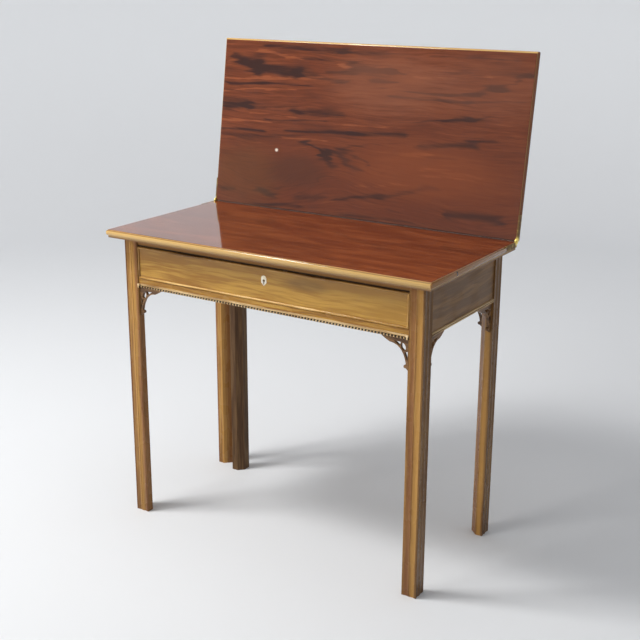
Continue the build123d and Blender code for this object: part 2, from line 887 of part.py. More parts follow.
front_height = drawer_high - drawer_low
front_middle = (drawer_low + drawer_high) / 2
bead_runs = (
    ("bottom", (0, drawer_face, drawer_low), (-1, 0, 0), 2 * drawer_half),
    ("top", (0, drawer_face, drawer_high), (1, 0, 0), 2 * drawer_half),
    ("left", (-drawer_half, drawer_face, front_middle), (0, 0, 1), front_height),
    ("right", (drawer_half, drawer_face, front_middle), (0, 0, -1), front_height),
)
for name, middle, along, length in bead_runs:
    keep(make_bead(middle, along, length), "cockbead_" + name)

# The escutcheon and the lock.
with BuildPart() as escutcheon:
    escutcheon_shape()
    keyhole(drawer_face - escutcheon_stand, escutcheon_thickness)
keep(escutcheon, "escutcheon")

with BuildPart() as lock_case:
    lock_body()
    block(
        (-lock_width / 2 + lock_wall, lock_width / 2 - lock_wall),
        (bolt_front - bolt_play, bolt_back + bolt_play),
        (lock_low + lock_wall, drawer_high - lock_wall),
        Mode.SUBTRACT,
    )
    block(
        (-bolt_width / 2 - bolt_play, bolt_width / 2 + bolt_play),
        (bolt_front - bolt_play, bolt_back + bolt_play),
        (drawer_high - lock_wall, drawer_high),
        Mode.SUBTRACT,
    )
    keyhole(lock_front, bolt_front - lock_front)
    lock_screws(Mode.SUBTRACT)
keep(lock_case, "lock_case")

with BuildPart() as lock_bolt:
    block(
        (-bolt_width / 2, bolt_width / 2),
        (bolt_front, bolt_back),
        (drawer_high - bolt_drop - bolt_height, drawer_high - bolt_drop),
    )
keep(lock_bolt, "lock_bolt")

with BuildPart() as screws_in_lock:
    lock_screws()
keep(screws_in_lock, "lock_screws")

# The gadroon moulding under the drawer and the two reeds along each side.
with BuildPart() as gadroon_moulding:
    with BuildSketch(Plane.YZ.offset(-leg_inner)):
        with BuildLine():
            low = apron_bottom - gadroon_hang
            shoulder, crown, foot = [
                (rail_front - across_share * gadroon_stand, low + up_share * gadroon_height)
                for across_share, up_share in gadroon_profile_shares
            ]
            ThreePointArc(shoulder, crown, foot)
            Polyline(foot, (rail_front, low), (rail_front, low + gadroon_height), shoulder)
        make_face()
    extrude(amount=2 * leg_inner)
keep(gadroon_moulding, "gadroon_moulding")

for name, side, end in (("left", -1, inner_rail_back), ("right", 1, back_leg_front)):
    with BuildPart() as side_moulding:
        with BuildSketch(Plane.XZ.offset(-front_leg_back)):
            low = apron_bottom + reed_rise
            with Locations((side * (rail_outer + reed_radius / 2), low + reed_count * reed_radius)):
                Rectangle(reed_radius, 2 * reed_count * reed_radius)
            for number in range(reed_count):
                with Locations((side * (rail_outer + reed_radius), low + (2 * number + 1) * reed_radius)):
                    Circle(reed_radius)
        extrude(amount=front_leg_back - end)
    keep(side_moulding, name + "_side_moulding")


# The pierced brackets, drawn out from the leg and down from the rail.
def make_bracket(corner, away):
    """One pierced bracket in the corner of a leg and a rail."""
    down = Vector(0, 0, -1)
    place = Plane(origin=corner, x_dir=away, z_dir=Vector(*away).cross(down))

    def at(share):
        return (share[0] * bracket_reach, share[1] * bracket_drop)

    with BuildPart() as bracket:
        with BuildSketch(place):
            with BuildLine():
                nose = at(bracket_nose_share)
                Polyline((0, 0), (bracket_reach, 0), nose)
                ThreePointArc(nose, at(bracket_cusp_shares[0]), at(bracket_cusp_shares[1]))
                ThreePointArc(*[at(share) for share in bracket_arch_shares])
                ThreePointArc(*[at(share) for share in bracket_fall_shares])
                Line(at(bracket_fall_shares[-1]), at(bracket_foot_shares[0]))
                ThreePointArc(*[at(share) for share in bracket_foot_shares])
                Line(at(bracket_foot_shares[-1]), (0, 0))
            make_face()
            with Locations(at(bracket_ball_share)):
                Circle(bracket_ball_radius)
            with Locations(at(bracket_oval_share)):
                Ellipse(*bracket_oval_radii, rotation=bracket_oval_turn, mode=Mode.SUBTRACT)
            for corners in bracket_spandrel_shares:
                Polygon(*[at(share) for share in corners], align=None, mode=Mode.SUBTRACT)
        extrude(amount=bracket_thickness / 2, both=True)
    return bracket


bracket_in = bracket_inset + bracket_thickness / 2
front_line = frame_front + bracket_in
back_line = frame_back - bracket_in
side_line = frame_half - bracket_in
rail_foot = apron_bottom
bracket_places = (
    ("front_left", (-leg_inner, front_line), (1, 0, 0)),
    ("front_right", (leg_inner, front_line), (-1, 0, 0)),
    ("left_front", (-side_line, front_leg_back), (0, 1, 0)),
    ("right_front", (side_line, front_leg_back), (0, 1, 0)),
    ("left_back", (-side_line, back_leg_front - bracket_play), (0, -1, 0)),
    ("right_back", (side_line, back_leg_front), (0, -1, 0)),
    ("back_right", (leg_inner, back_line), (-1, 0, 0)),
    ("fly", (-leg_inner, back_line), (1, 0, 0)),
)
for name, (x, y), away in bracket_places:
    keep(make_bracket((x, y, rail_foot), away), "bracket_" + name)
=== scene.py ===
import json
import math

import bmesh
import bpy
from mathutils import Matrix, Vector

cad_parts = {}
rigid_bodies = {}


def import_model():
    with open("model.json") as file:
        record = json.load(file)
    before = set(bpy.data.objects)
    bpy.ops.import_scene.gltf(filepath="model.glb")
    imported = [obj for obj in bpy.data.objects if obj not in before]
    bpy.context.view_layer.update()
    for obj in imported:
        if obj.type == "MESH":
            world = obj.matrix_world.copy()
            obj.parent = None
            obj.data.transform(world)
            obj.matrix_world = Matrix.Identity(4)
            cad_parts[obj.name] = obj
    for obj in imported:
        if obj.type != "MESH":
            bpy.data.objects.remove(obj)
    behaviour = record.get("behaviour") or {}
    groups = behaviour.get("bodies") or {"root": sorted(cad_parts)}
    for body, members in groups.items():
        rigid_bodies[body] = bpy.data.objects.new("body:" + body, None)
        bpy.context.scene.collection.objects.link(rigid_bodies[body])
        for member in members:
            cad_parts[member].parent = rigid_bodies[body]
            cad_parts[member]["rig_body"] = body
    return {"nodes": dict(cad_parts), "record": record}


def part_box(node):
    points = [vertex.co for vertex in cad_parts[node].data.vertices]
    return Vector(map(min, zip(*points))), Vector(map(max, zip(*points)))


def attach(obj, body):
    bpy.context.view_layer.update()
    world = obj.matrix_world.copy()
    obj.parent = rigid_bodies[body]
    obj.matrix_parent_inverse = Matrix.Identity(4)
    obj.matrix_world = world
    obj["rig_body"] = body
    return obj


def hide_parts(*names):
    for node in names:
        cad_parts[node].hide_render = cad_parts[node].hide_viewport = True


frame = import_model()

scene = bpy.context.scene
MM = 0.001
X, Y, Z = Vector((1, 0, 0)), Vector((0, 1, 0)), Vector((0, 0, 1))
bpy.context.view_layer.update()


def tone(red, green, blue):
    """A colour as seen on screen, 0 to 255, as the linear colour that Blender mixes with."""
    linear = [((part / 255 + 0.055) / 1.055) ** 2.4 for part in (red, green, blue)]
    return (*linear, 1.0)


def span_of(node):
    """The lowest and highest corner of a CAD node, in millimetres."""
    low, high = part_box(node)
    return low / MM, high / MM


# Shader arithmetic


class Wire:
    """An output socket of a material, which Python's own arithmetic works on."""

    def __init__(self, finish, socket):
        self.finish = finish
        self.socket = socket

    def __add__(self, other):
        return self.finish.sum("ADD", self, other)

    def __sub__(self, other):
        return self.finish.sum("SUBTRACT", self, other)

    def __rsub__(self, other):
        return self.finish.sum("SUBTRACT", other, self)

    def __mul__(self, other):
        return self.finish.sum("MULTIPLY", self, other)

    def __truediv__(self, other):
        return self.finish.sum("DIVIDE", self, other)

    __radd__ = __add__
    __rmul__ = __mul__


class Finish:
    """A material under construction, with one Principled surface."""

    def __init__(self, name):
        self.material = bpy.data.materials.new(name)
        self.material.use_nodes = True
        self.tree = self.material.node_tree
        self.tree.nodes.clear()
        self.surface = self.tree.nodes.new("ShaderNodeBsdfPrincipled")
        output = self.tree.nodes.new("ShaderNodeOutputMaterial")
        self.tree.links.new(self.surface.outputs["BSDF"], output.inputs["Surface"])
        self.place = self.node("ShaderNodeTexCoord", {}, {}, "Object")

    def put(self, socket, value):
        if isinstance(value, Wire):
            self.tree.links.new(value.socket, socket)
        else:
            socket.default_value = value

    def node(self, kind, settings, values, output=0):
        made = self.tree.nodes.new(kind)
        for name, value in settings.items():
            setattr(made, name, value)
        for name, value in values.items():
            self.put(made.inputs[name], value)
        return Wire(self, made.outputs[output])

    def sum(self, operation, *values):
        return self.node("ShaderNodeMath", {"operation": operation}, dict(enumerate(values)))

    def hill(self, *values):
        """1 where all the values are 0, falling away smoothly on every side."""
        squares = [value * value for value in values]
        return self.sum("POWER", 1 / math.e, sum(squares[1:], squares[0]))

    def ramp(self, value, low, high):
        """0 at low, 1 at high and a soft slope between, whichever of the two is the greater."""
        values = {"Value": value, "From Min": low, "From Max": high}
        return self.node("ShaderNodeMapRange", {"interpolation_type": "SMOOTHSTEP"}, values)

    def blend(self, share, first, second):
        """The first colour, with a share of the second in it. Its colour sockets go by number."""
        return self.node("ShaderNodeMix", {"data_type": "RGBA"}, {0: share, 6: first, 7: second}, 2)

    def along(self, direction):
        """How far the point lies along a direction, in millimetres."""
        dot = {"operation": "DOT_PRODUCT"}
        return self.node("ShaderNodeVectorMath", dot, {0: self.place, 1: tuple(direction)}, "Value") / MM

    def point(self, x, y, z):
        return self.node("ShaderNodeCombineXYZ", {}, {0: x, 1: y, 2: z})

    def noise(self, point, scale=1.0, detail=2.0, roughness=0.5, distortion=0.0):
        values = {"Vector": point, "Scale": scale, "Detail": detail, "Roughness": roughness,
                  "Distortion": distortion}
        return self.node("ShaderNodeTexNoise", {}, values)

    def recess(self, reach):
        """1 in the grooves and inner corners of the piece itself, found by ambient occlusion: painted shade
        there, and the dirt and old wax that gather there.
        """
        open_level, closed_level = 0.85, 0.3
        settings = {"samples": 6, "only_local": True}
        open_share = self.node("ShaderNodeAmbientOcclusion", settings, {"Distance": reach * MM}, "AO")
        return self.ramp(open_share, open_level, closed_level)

    def bump(self, height, distance, strength):
        values = {"Height": height, "Distance": distance * MM, "Strength": strength}
        return self.node("ShaderNodeBump", {}, values)

    def set(self, **values):
        for name, value in values.items():
            self.put(self.surface.inputs[name.replace("_", " ")], value)
        return self.material


# Wood. Places in a plank are millimetres along the grain and across it.

# Painted shade with dirt, in the grooves and corners of a piece
recess_shade_and_dirt = tone(40, 27, 19)
# Painted shade with dirt, between the gadroon's lobes
lobe_gap_shade_and_dirt = tone(30, 20, 14)


def streaks(f, run, side, marks):
    """Tapering streaks, each (along, across, along, across, depth, depth, strength) from end to end."""
    wander_along, wander_across, tip = 110, 14, 16
    run = run + (f.noise(f.point(run * 0.006, side * 0.06, 5.0), detail=3.0) - 0.5) * wander_along
    side = side + (f.noise(f.point(run * 0.005, side * 0.03, 9.0)) - 0.5) * wander_across
    total = 0.0
    for near_run, near_side, far_run, far_side, near_depth, far_depth, strength in marks:
        share = f.ramp(run, near_run, far_run)
        half = (far_run - near_run) / 2
        beyond = f.sum("MAXIMUM", f.sum("ABSOLUTE", run - (near_run + half)) - half, 0.0)
        off = side - (share * (far_side - near_side) + near_side)
        depth = share * (far_depth - near_depth) + near_depth
        total = f.hill(beyond / tip, off / depth) * strength + total
    return total


def wood(name, tones, grain, face, origin=(0, 0, 0), bands=30.0, coarse=1.0, flame=1.0, bends=(), marks=(),
         lights=(), calm=(), stains=(), fades=(), teeth=(), glaze=0.0, polish=0.2, shine=0.35, shade_and_dirt=0.0,
         grooves=4.0, fibre_bump=0.3, lines_share=0.3, back=None):
    """Old mahogany in dark, middle and light tones.

    The grain runs one way and the face is the way that its show side looks. Marks are its dark streaks
    and lights its bright ones. Bends pull the figure, each (along, across, reach along, reach across,
    pull). Calm places hold less of it, with a share for the pull. Stains are (along, across, reach
    along, reach across, colour, strength), and fades are (direction, from, to, colour, strength).
    Teeth are (first, pitch, height of their shoulders), with painted shade and dirt between them. The back of
    a board is a height along the face, and it has no marks, lights, calm places, stains or fades."""
    dark, middle, light = tones
    f = Finish(name)
    over = face.cross(grain)
    run, side, deep = (f.along(way) - Vector(origin).dot(way) for way in (grain, over, face))

    def spot(at_run, at_side, reach_run, reach_side):
        """1 in the middle of a place in the plank, falling away by its reach each way."""
        return f.hill((run - at_run) / reach_run, (side - at_side) / reach_side)

    shown = 1.0 if back is None else f.ramp(deep, back + 0.2, back + 0.6)
    lines = side + (f.noise(f.point(run * 0.0045, side * 0.012, deep * 0.012)) - 0.5) * bands
    for *place, pull in bends:
        lines = spot(*place) * pull + lines

    # Layers of the figure, from the widest to the finest, all drawn out along the grain
    wide = f.noise(f.point(run * 0.0045, lines * 0.045 * coarse, deep * 0.045), detail=3.0, distortion=0.6)
    streak = f.noise(f.point(run * 0.009 + 31, lines * 0.13 * coarse, deep * 0.13),
                     detail=3.0, roughness=0.55)
    fine = f.noise(f.point(run * 0.014 + 9, lines * 0.42, deep * 0.42), detail=3.0, roughness=0.6)
    fibre = f.noise(f.point(run * 0.05, lines * 1.7, deep * 1.7))
    pores = f.ramp(f.noise(f.point(run * 0.16, side * 2.4, deep * 2.4), detail=1.0), 0.62, 0.76)

    held = 1.0
    for *place, share in calm:
        held = spot(*place) * -share * shown + held
    glow = f.ramp(wide * 0.4 + streak * 0.4 + fine * 0.2, 0.44, 0.6) * held
    if lights:
        glow = f.ramp(streaks(f, run, side, lights) * shown + streak * 2 + fine, 1.8, 2.4) + glow * 0.35
    figure = ((wide + streak) * -4 + 4) * held * flame
    if marks:
        figure = streaks(f, run, side, marks) * shown * 1.2 + figure
    colour = f.blend(glow, middle, light)
    colour = f.blend(f.ramp(figure, 0.1, 1.3), colour, dark)
    hairs = f.ramp(fine, 0.5, 0.36) + f.ramp(fibre, 0.45, 0.3) * 0.7 + pores * 0.8
    colour = f.blend(hairs * lines_share, colour, dark)
    glazed = glaze
    for way, first, last, paint, strength in fades:
        share = f.ramp(f.along(way), first, last) * shown * strength
        colour = f.blend(share, colour, paint)
        glazed = (1 - share) * glazed
    for *place, paint, strength in stains:
        near = spot(*place)
        colour = f.blend(f.ramp(near * (streak + 0.5), 0.1, 0.8) * shown * strength, colour, paint)
    # Painted shade and dirt in the gaps between the lobes, below their shoulders
    if teeth:
        first, pitch, shoulder = teeth
        gap = f.sum("ABSOLUTE", f.sum("SINE", (run - first) * (math.pi / pitch)))
        below = f.ramp(f.along(Z), shoulder + 0.4, shoulder - 0.4)
        colour = f.blend(f.ramp(gap, 0.45, 0.85) * below, colour, lobe_gap_shade_and_dirt)
    rubs = f.ramp(f.noise(f.point(run * 0.02, side * 0.03, deep * 0.03)), 0.4, 0.7)
    rough = rubs * (polish / 2) + polish
    # Painted shade in the piece's own grooves and corners, with the dirt that gathers there
    if shade_and_dirt:
        hollow = f.recess(grooves)
        colour = f.blend(hollow * shade_and_dirt, colour, recess_shade_and_dirt)
        rough = hollow * 0.5 + rough
    relief = fibre * 0.5 + fine - pores
    return f.set(Base_Color=colour, Roughness=rough, IOR=1.5, Specular_IOR_Level=shine, Coat_Weight=glazed,
                 Coat_Roughness=polish * 0.5, Coat_IOR=1.5, Normal=f.bump(relief, 0.1, fibre_bump))


def metal(name, bright, dirty, roughness, grime, rubbed=None):
    """Old metal, dull and stained, and rubbed bright around one line along the table, if it has one."""
    f = Finish(name)
    stain = f.ramp(f.noise(f.place, scale=90.0, detail=3.0), 0.05, 0.55) * grime
    if rubbed:
        reach = 10
        near = f.hill((f.along(Y) - rubbed.y) / reach, (f.along(Z) - rubbed.z) / reach)
        stain = stain * (1 - f.ramp(near, 0.1, 0.7))
    scratches = f.noise(f.point(f.along(X) * 0.9, f.along(Y) * 2.6, f.along(Z) * 2.6))
    return f.set(Base_Color=f.blend(stain, bright, dirty), Metallic=stain * -0.5 + 1.0,
                 Roughness=stain * 0.3 + scratches * 0.1 + roughness,
                 Normal=f.bump(scratches + stain, 0.06, 0.4))


def bone(name):
    """Bone with a yellow cast and fine brown grain lines."""
    f = Finish(name)
    grain = f.noise(f.point(f.along(X) * 1.5, f.along(Y) * 1.5, f.along(Z) * 0.3))
    yellow = f.ramp(f.noise(f.place, scale=90.0, detail=3.0), 0.35, 0.7)
    colour = f.blend(yellow * 0.5, tone(238, 232, 214), tone(206, 186, 142))
    colour = f.blend(f.ramp(grain, 0.58, 0.75) * 0.4, colour, tone(130, 100, 66))
    return f.set(Base_Color=colour, Roughness=grain * 0.2 + 0.32, Normal=f.bump(grain, 0.05, 0.3))


# Places that the finishes and the made pieces go by

top_low, top_high = span_of("table_top")
board_thickness = top_high.z - top_low.z
lean = math.radians(8.3)
hinge_gap = 0.2
up_flap = Vector((0, math.sin(lean), math.cos(lean)))
flap_face = Vector((0, -math.cos(lean), math.sin(lean)))
hinge_line = Vector((0, top_high.y + hinge_gap, top_high.z + hinge_gap))
flap_front = flap_face.dot(hinge_line) - hinge_gap
hinge_rise = up_flap.dot(hinge_line)
end_edge = (top_high.x - 4.4, top_high.x - 3.6)
rail_foot = span_of("top_rail")[0].z
gadroon_low, gadroon_high = span_of("gadroon_moulding")
lobe_shoulder = gadroon_high.z - 4
block_width = 5.5
lobe_pitch = 7.97
lobe_count = int((gadroon_high.x - gadroon_low.x - 2 * block_width) / lobe_pitch)
first_lobe = (gadroon_low.x + gadroon_high.x) / 2 - (lobe_count - 1) * lobe_pitch / 2

# Dark, middle and light tones of the woods, with shaded copies for painted shade, and single tones for worn
# edges and for painted light and shade

red = (tone(66, 36, 27), tone(112, 55, 33), tone(146, 79, 46))
flap_red = (tone(54, 32, 26), tone(99, 49, 28), tone(134, 72, 41))
gold = (tone(98, 64, 26), tone(152, 106, 38), tone(188, 144, 62))
honey = (tone(88, 56, 32), tone(142, 100, 52), tone(174, 132, 74))
brown = (tone(72, 50, 30), tone(108, 77, 44), tone(134, 99, 58))
umber = (tone(52, 34, 22), tone(100, 70, 42), tone(138, 102, 64))
# Shaded tones, painted shade: the inner back leg, the boards' joint and the right legs' outer faces
shaded = (tone(44, 31, 22), tone(84, 60, 40), tone(110, 84, 55))
# Near black tones, painted as shadow on the top rail
rail_shadow_black = (tone(18, 13, 9), tone(34, 24, 16), tone(50, 36, 24))
# Darker bead tones, painted shade
shaded_bead_tones = (tone(92, 62, 30), tone(138, 100, 52), tone(168, 128, 70))
pale = (tone(146, 112, 72), tone(200, 166, 116), tone(232, 204, 156))
oak = (tone(106, 80, 54), tone(158, 126, 86), tone(186, 154, 110))
# Thumb gold is the worn gold of the moulded edges, made paler as a painted highlight; fillet brown paints a
# shade line along the fillet; the right ends are darker as end grain and as painted shade; under brown paints
# shade on the under part of the moulded edges and darkens the legs towards their feet
thumb_gold = tone(198, 160, 98)
fillet_brown = tone(120, 84, 44)
end_grain_shade_brown = tone(128, 80, 36)
under_brown = tone(110, 76, 42)
# Reddish and sunlit paint shade and light in stripes down the legs' fronts
reddish = tone(120, 74, 46)
sunlit = tone(182, 136, 70)

# The figure of the flap, read from the photograph

flap_marks = (
    (-400, 378, -320, 350, 12, 23, 1.0),
    (-320, 350, -200, 341, 22, 14, 1.0),
    (-200, 341, -65, 326, 13, 4, 0.9),
    (-285, 405, -75, 399, 5, 7, 0.8),
    (-75, 399, 90, 401, 6, 3, 0.5),
    (-415, 306, -290, 312, 5, 5, 1.0),
    (-290, 312, -160, 312, 4, 2, 0.8),
    (-430, 288, -250, 286, 3, 2, 0.5),
    (-430, 253, -345, 255, 15, 14, 1.0),
    (-345, 252, -200, 248, 12, 10, 0.6),
    (-200, 246, -50, 250, 10, 8, 0.6),
    (-290, 222, -110, 232, 3, 2, 0.9),
    (-425, 191, -310, 192, 6, 5, 0.9),
    (-405, 172, -195, 185, 9, 6, 0.5),
    (-210, 199, -15, 206, 3, 4, 0.8),
    (-15, 206, 110, 211, 5, 7, 1.0),
    (-155, 174, -110, 147, 9, 12, 0.9),
    (-110, 147, -70, 122, 10, 8, 0.8),
    (-100, 159, -5, 124, 7, 10, 0.7),
    (-50, 163, 12, 181, 8, 6, 0.7),
    (-16, 150, 55, 119, 5, 4, 0.7),
    (-175, 380, -33, 379, 5, 3, 0.8),
    (-38, 363, 50, 359, 15, 8, 0.9),
    (-95, 349, -37, 352, 5, 6, 0.7),
    (67, 361, 92, 356, 7, 3, 0.8),
    (20, 336, 82, 334, 7, 4, 0.8),
    (170, 400, 380, 398, 5, 3, 0.6),
    (150, 362, 250, 367, 8, 4, 0.4),
    (270, 317, 340, 333, 6, 9, 0.8),
    (340, 336, 432, 368, 9, 7, 0.8),
    (45, 319, 190, 312, 3, 3, 0.7),
    (190, 312, 290, 318, 3, 5, 0.7),
    (85, 301, 270, 299, 3, 4, 0.8),
    (270, 300, 390, 309, 3, 2, 0.6),
    (105, 244, 225, 258, 2, 3, 0.6),
    (225, 259, 270, 263, 8, 7, 0.8),
    (270, 260, 350, 272, 4, 2, 0.6),
    (160, 192, 300, 203, 8, 7, 0.9),
    (180, 169, 236, 170, 6, 4, 0.6),
    (288, 214, 343, 219, 5, 4, 0.7),
    (-70, 43, 62, 64, 6, 8, 0.8),
    (62, 64, 210, 98, 7, 8, 0.8),
    (-170, 37, -116, 40, 13, 12, 0.6),
    (-302, 43, -241, 33, 7, 9, 1.0),
    (-340, 4, -175, 12, 3, 5, 0.7),
    (250, 38, 386, 41, 11, 13, 0.85),
    (-420, 34, -385, 36, 7, 5, 0.6),
    (-245, 51, -70, 96, 3, 2, 0.5),
    (-60, 7, 165, 12, 5, 3, 0.5),
)
flap_lights = (
    (-325, 392, -215, 380, 7, 4, 0.9),
    (-215, 379, -145, 368, 3, 5, 0.6),
    (-420, 320, -290, 327, 3, 4, 1.0),
    (-290, 326, -140, 334, 4, 4, 0.9),
    (-420, 287, -315, 298, 3, 2, 0.8),
    (-290, 296, -205, 301, 3, 2, 0.7),
    (-402, 362, -392, 362, 6, 6, 0.9),
    (-57, 367, -40, 364, 8, 8, 0.9),
    (-333, 235, -200, 233, 4, 2, 0.8),
    (-417, 213, -290, 215, 4, 2, 0.8),
    (-210, 180, -105, 182, 3, 2, 0.7),
    (-43, 224, 106, 229, 3, 2, 0.5),
    (65, 163, 170, 172, 9, 12, 0.5),
    (175, 131, 315, 134, 18, 15, 0.5),
    (0, 81, 120, 99, 6, 5, 0.5),
    (130, 351, 310, 359, 3, 3, 0.5),
)

# Stripes down the legs, each (how far to the left of the table's middle, reach, colour, strength). The sunlit
# ones are painted light on the hollows of the legs' fronts, and the reddish ones painted shade

leg_middle, leg_reach = 300, 900
leg_stripes = (
    (-375, 7, reddish, 0.6),
    (-391, 6, sunlit, 0.7),
    (383, 6, sunlit, 0.7),
    (400, 4, reddish, 0.6),
    (369, 5, reddish, 0.6),
)


def under_top(first, last, paint, strength):
    """A fade between two depths under the show face of the top."""
    return (-Z, first - top_high.z, last - top_high.z, paint, strength)


def behind_flap(first, last, paint, strength):
    """A fade between two depths behind the show face of the flap."""
    return (-flap_face, first - flap_front, last - flap_front, paint, strength)


polished = {"polish": 0.07, "fibre_bump": 0.02, "shine": 0.5}
woods = {
    "top_wood": polished | {
        "tones": red, "origin": (900, 40, 0), "glaze": 0.4, "flame": 0.4, "bands": 40, "coarse": 0.8,
        "lines_share": 0.22, "back": top_low.z,
        # Painted shade along the back edge by the joint; the worn gold of the moulded edge, paler as a
        # painted highlight, with a painted shade line at its fillet; the right end darker as end grain and as
        # painted shade; and painted shade on the edge's under part
        "fades": [(Y, top_high.y - 4, top_high.y - 1, shaded[0], 0.9),
                  under_top(0.3, 0.9, thumb_gold, 0.95), under_top(1.4, 1.8, fillet_brown, 0.8),
                  under_top(2.9, 3.3, thumb_gold, 1.0), (X, *end_edge, end_grain_shade_brown, 0.8),
                  under_top(12, 18, under_brown, 0.85)],
        "stains": [(-470, -176, 2, 3, tone(30, 20, 16), 1.0), (-487, 128, 9, 1, tone(206, 168, 136), 0.8)]},
    "flap_wood": polished | {
        "tones": flap_red, "origin": tuple(hinge_line), "coarse": 0.9, "flame": 0.5, "lines_share": 0.22,
        "back": flap_front - flap_face.dot(hinge_line) - board_thickness,
        "bends": [(-300, 40, 130, 80, 34), (-70, 110, 110, 60, -26), (330, 20, 150, 70, 20)],
        "calm": [(240, 100, 260, 110, 0.8), (-200, 90, 180, 80, 0.8)],
        "marks": flap_marks, "lights": flap_lights,
        # Painted shade along the joint with the top; the worn gold of the top edge, paler as a painted
        # highlight; the right end darker as end grain and as painted shade; and a browner back to the edge
        "fades": [(-up_flap, -hinge_rise - 4, -hinge_rise - 1, shaded[0], 0.9),
                  behind_flap(0.3, 0.9, thumb_gold, 0.95), (X, *end_edge, tone(112, 60, 36), 0.9),
                  behind_flap(12, 17, tone(128, 86, 46), 0.7)],
        "stains": [(-340, 80, 120, 80, tone(92, 60, 34), 0.45),
                   (-180, 100, 90, 45, tone(78, 44, 30), 0.65),
                   (180, 130, 220, 70, tone(132, 68, 34), 0.5),
                   # The next two pale stains, high on the flap, are a painted haze of reflected light
                   (60, 330, 170, 80, tone(140, 88, 64), 0.4),
                   (320, 340, 150, 80, tone(134, 84, 62), 0.3),
                   (-246, 148, 4.5, 4, tone(225, 214, 196), 1.0)]},
    "leg_wood": {"tones": honey, "bands": 10, "coarse": 1.5, "flame": 0.45, "shade_and_dirt": 0.9, "grooves": 2.5,
                 "lines_share": 0.2, "shine": 0.25, "polish": 0.26,
                 # The legs darken towards their feet, and the right legs' outer faces are painted darker as
                 # shade
                 "fades": [(-Z, -120, -5, under_brown, 0.55), (X, 393, 400, shaded[1], 0.6)],
                 "stains": [(leg_middle, left, leg_reach, *stripe) for left, *stripe in leg_stripes]},
    "rail_wood": {"tones": brown, "flame": 0.1, "polish": 0.3, "lines_share": 0.12, "shine": 0.25},
    "drawer_rail_wood": {"tones": gold, "flame": 0.4},
    # The top rail fades to brown above, with its lowest few millimetres painted black as the shadow in the
    # gap above the drawer
    "top_rail_wood": {"tones": rail_shadow_black, "flame": 0.4, "polish": 0.5, "shine": 0.1,
                      "fades": [(Z, rail_foot + 1.5, rail_foot + 5, tone(140, 100, 56), 0.95)]},
    "gate_wood": {"tones": brown, "origin": (0, 0, 70), "flame": 0.4, "polish": 0.4, "shade_and_dirt": 0.6},
    # The inner back leg is painted in shaded tones, as the shade that it stands in
    "inner_back_leg_wood": {"tones": shaded, "bands": 10, "coarse": 1.5, "flame": 0.4, "polish": 0.3,
                            "shine": 0.15},
    "drawer_wood": {"tones": gold, "origin": (500, 0, 0), "flame": 0.12, "polish": 0.16, "lines_share": 0.09,
                    # The drawer front grows lighter towards the right, and is painted darker towards its top
                    # as the shade under the top
                    "fades": [(X, -250, 380, gold[2], 0.4), (Z, 640, 690, tone(120, 86, 44), 0.6)],
                    "stains": [(-390, 667, 60, 14, tone(98, 72, 42), 0.45)]},
    "bead_wood": {"tones": (gold[1], tone(210, 166, 96), tone(236, 198, 130)), "origin": (120, 0, 0)},
    # The top and left cockbeads are painted darker as shade; the other beads stay bright
    "cockbead_top_wood": {"tones": shaded_bead_tones, "origin": (90, 0, 0)},
    "cockbead_left_wood": {"tones": shaded_bead_tones, "origin": (60, 0, 0)},
    "moulding_wood": {"tones": pale, "origin": (620, 0, 0), "polish": 0.3, "shade_and_dirt": 0.95, "grooves": 2.2},
    "gadroon_wood": {"tones": pale, "polish": 0.3, "shade_and_dirt": 0.8, "grooves": 1.5,
                     "teeth": (first_lobe, lobe_pitch, lobe_shoulder)},
    "bracket_wood": {"tones": umber, "origin": (20, 0, 0), "polish": 0.3, "shade_and_dirt": 0.7, "grooves": 3.0},
    "lining_wood": {"tones": oak, "origin": (0, 210, 0), "flame": 0.25, "polish": 0.5, "shade_and_dirt": 0.5},
}
metals = {
    "hinge_brass": metal("brass", tone(255, 230, 130), tone(120, 92, 54), roughness=0.24, grime=1.0,
                         rubbed=hinge_line),
    "iron": metal("iron", tone(96, 92, 88), tone(70, 48, 36), roughness=0.42, grime=0.8),
    "bone": bone("bone"),
}
slot_of = {part["node"]: part["material_slot"] for part in frame["record"]["subparts"]}
level = ("drawer_runner", "kicker", "drawer_guide")
sideways = ("side_rail", "side_moulding", "bracket_left", "bracket_right", "left_side", "right_side")
upright = ("cockbead_left", "cockbead_right")
made_woods = {}


def finish_of(node):
    """The finish of a node, with its grain laid the way that its maker laid it."""
    slot = slot_of[node]
    if slot in metals:
        return metals[slot]
    grain, face = X, -Y
    if any(word in node for word in sideways):
        grain, face = Y, X
    if any(word in node for word in level):
        grain, face = Y, Z
    if node.endswith("leg") or node in upright:
        grain = Z
    if node in ("table_top", "drawer_bottom"):
        face = Z
    if node == "flap":
        face = flap_face
    kind = node + "_wood" if node + "_wood" in woods else slot
    kind = "gadroon_wood" if node == "gadroon_moulding" else kind
    key = (kind, tuple(grain), tuple(face))
    if key not in made_woods:
        made_woods[key] = wood(f"{kind}_{len(made_woods)}", grain=grain, face=face, **woods[kind])
    return made_woods[key]


for name, node in frame["nodes"].items():
    node.data.materials.clear()
    node.data.materials.append(finish_of(name))


# Pieces made here in place of plain CAD nodes

arris = 32
flat = 0.6
weld = 0.005
flap_reach = 0.37
sharp_by_hinge = 25


def piece(name, mesh, finish):
    """A mesh as an object of the scene, in one finish."""
    made = bpy.data.objects.new(name, mesh)
    mesh.materials.clear()
    mesh.materials.append(finish)
    scene.collection.objects.link(made)
    return made


def stand_in(made, *nodes):
    """The made piece takes the place and body of these CAD nodes."""
    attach(made, frame["nodes"][nodes[0]]["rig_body"])
    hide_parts(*nodes)


def turned_away(edge):
    """The angle between the two faces of an edge, in degrees.

    It is over the arris angle on an arris, and under the flat one inside a flat face."""
    return math.degrees(edge.calc_face_angle(0.0))


